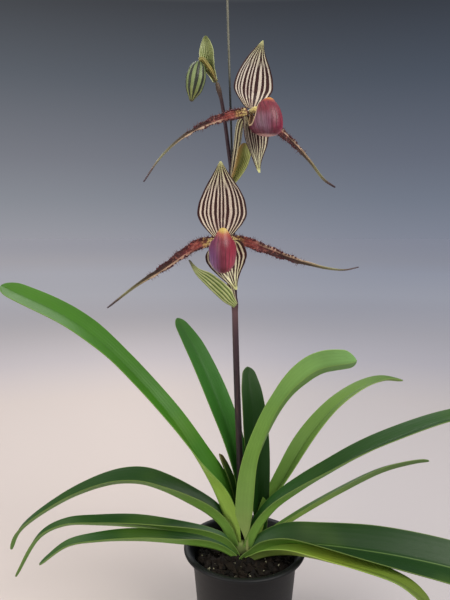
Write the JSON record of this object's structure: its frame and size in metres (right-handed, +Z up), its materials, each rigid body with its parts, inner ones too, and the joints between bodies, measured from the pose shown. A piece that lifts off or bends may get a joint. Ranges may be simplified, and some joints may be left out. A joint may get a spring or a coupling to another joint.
{
  "type": "potted slipper orchid",
  "caption": "Slipper orchid in a tapered plastic pot: a fan of strap leaves, an upright staked stem with striped flowers that carry a forward pouch, and a nodding bud.",
  "frame": {"origin": "centre of the pot's underside", "axes": "+Z up, -Y towards the side the lower flower faces, +X to the right seen from that side"},
  "size_m": [0.5209, 0.162, 0.68],
  "materials": {
    "pot_plastic": "satin black plastic",
    "bark_mix": "damp dark bark with pale bits",
    "crown_tissue": "matt green-brown stem",
    "stake_wire": "thin grey-green coated stake",
    "stem_tissue": "dark purple downy stem",
    "leaf_blade": "glossy green leaf with a paler keel and edge",
    "ovary_tissue": "downy stalk with dark red and green stripes",
    "bud_tissue": "green bud with dark stripes",
    "bract_sheath": "yellow-green veined sheath",
    "staminode_tissue": "cream-yellow downy shield",
    "lip_tissue": "waxy crimson-purple pouch with darker veins and a yellow rim",
    "sepal_tissue": "cream with near-black maroon stripes",
    "petal_tissue": "maroon spotted base with warts and hairs, olive outer half"
  },
  "bodies": {
    "root": {"pot": "pot_plastic", "soil": "bark_mix", "crown": "crown_tissue", "stake": "stake_wire", "scape": "stem_tissue", "leaf_01": "leaf_blade", "leaf_02": "leaf_blade", "leaf_03": "leaf_blade", "leaf_04": "leaf_blade", "leaf_05": "leaf_blade", "leaf_06": "leaf_blade", "leaf_07": "leaf_blade", "leaf_08": "leaf_blade", "leaf_09": "leaf_blade", "leaf_10": "leaf_blade", "leaf_11": "leaf_blade", "leaf_12": "leaf_blade", "leaf_13": "leaf_blade", "ovary_lower": "ovary_tissue", "ovary_upper": "ovary_tissue", "bud_stalk": "ovary_tissue", "bud": "bud_tissue", "bract_lower": "bract_sheath", "bract_upper": "bract_sheath", "bract_bud": "bract_sheath", "lower_staminode": "staminode_tissue", "lower_lip": "lip_tissue", "lower_dorsal_sepal": "sepal_tissue", "lower_synsepal": "sepal_tissue", "lower_petal_left": "petal_tissue", "lower_petal_right": "petal_tissue", "upper_staminode": "staminode_tissue", "upper_lip": "lip_tissue", "upper_dorsal_sepal": "sepal_tissue", "upper_synsepal": "sepal_tissue", "upper_petal_left": "petal_tissue", "upper_petal_right": "petal_tissue"}
  },
  "joints": []
}
